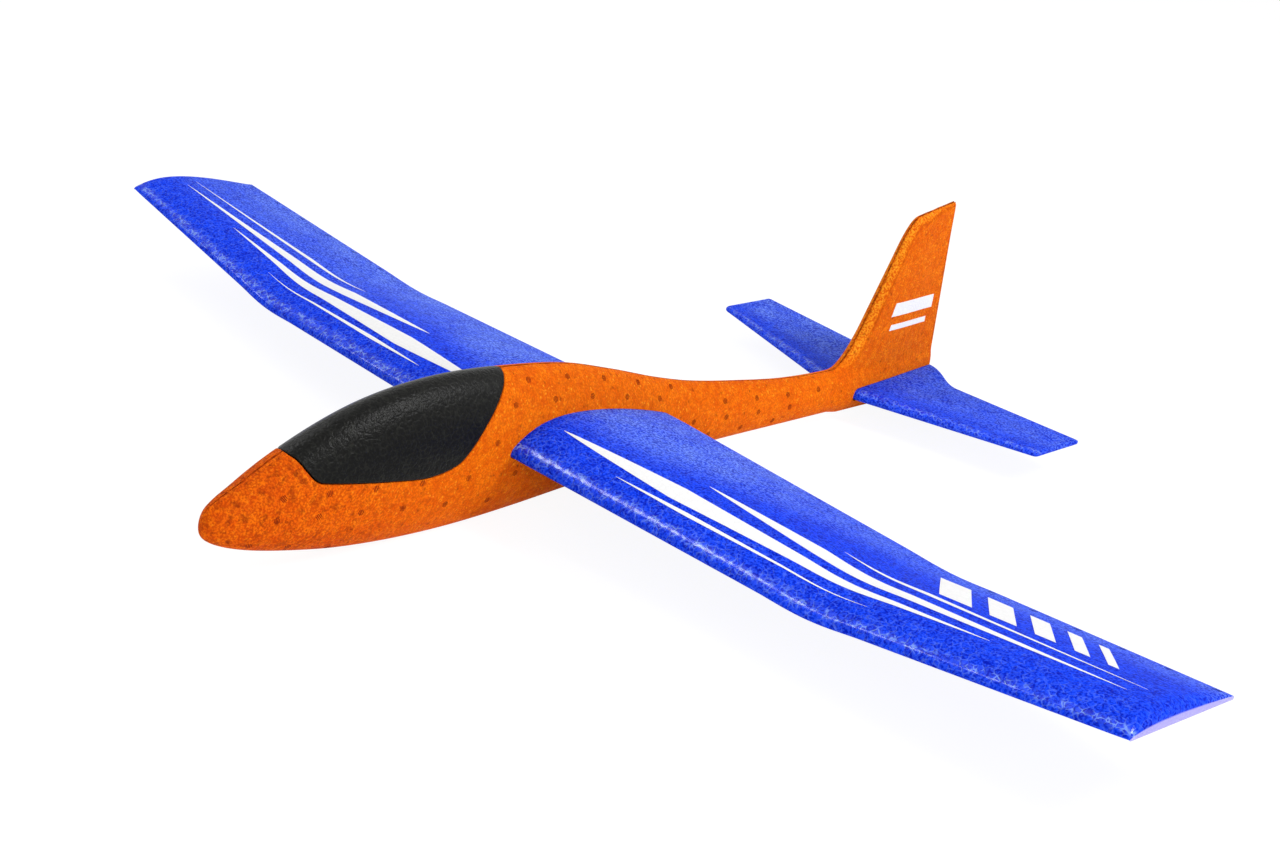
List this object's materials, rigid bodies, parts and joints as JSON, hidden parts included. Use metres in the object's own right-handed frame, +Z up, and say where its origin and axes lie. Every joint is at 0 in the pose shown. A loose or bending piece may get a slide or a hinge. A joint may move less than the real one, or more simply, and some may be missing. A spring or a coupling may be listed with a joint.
{
  "type": "foam hand glider",
  "caption": "Hand-launched toy glider in moulded foam with a bent-up wing, inlaid canopy, tall fin and low tailplane.",
  "frame": {"origin": "under the middle of the glider's box, on the surface that the belly rests on", "axes": "+Z up, -Y towards the nose, +X towards the left (port) wing tip"},
  "size_m": [0.6, 0.457, 0.1079],
  "materials": {
    "orange_foam": "matte",
    "blue_foam": "satin",
    "black_foam": "matte",
    "steel": "satin",
    "glass_fibre_rod": "satin",
    "sleeve_plastic": "satin"
  },
  "bodies": {
    "fuselage": {"fuselage_left_half": "orange_foam", "fuselage_right_half": "orange_foam", "canopy": "black_foam", "nose_weight": "steel", "boom_rod": "glass_fibre_rod", "wing_joiner": "glass_fibre_rod"},
    "left_wing": {"wing_left": "blue_foam", "spar_sleeve_left": "sleeve_plastic"},
    "right_wing": {"wing_right": "blue_foam", "spar_sleeve_right": "sleeve_plastic"},
    "tail": {"tailplane": "blue_foam"}
  },
  "joints": [
    {"name": "left_wing_pull", "type": "slide", "parent": "fuselage", "child": "left_wing", "axis": [1, 0, 0], "range_m": [0, 0.08]},
    {"name": "right_wing_pull", "type": "slide", "parent": "fuselage", "child": "right_wing", "axis": [-1, 0, 0], "range_m": [0, 0.08]},
    {"name": "tailplane_pull", "type": "slide", "parent": "fuselage", "child": "tail", "axis": [0, 1, 0], "range_m": [0, 0.08]}
  ]
}
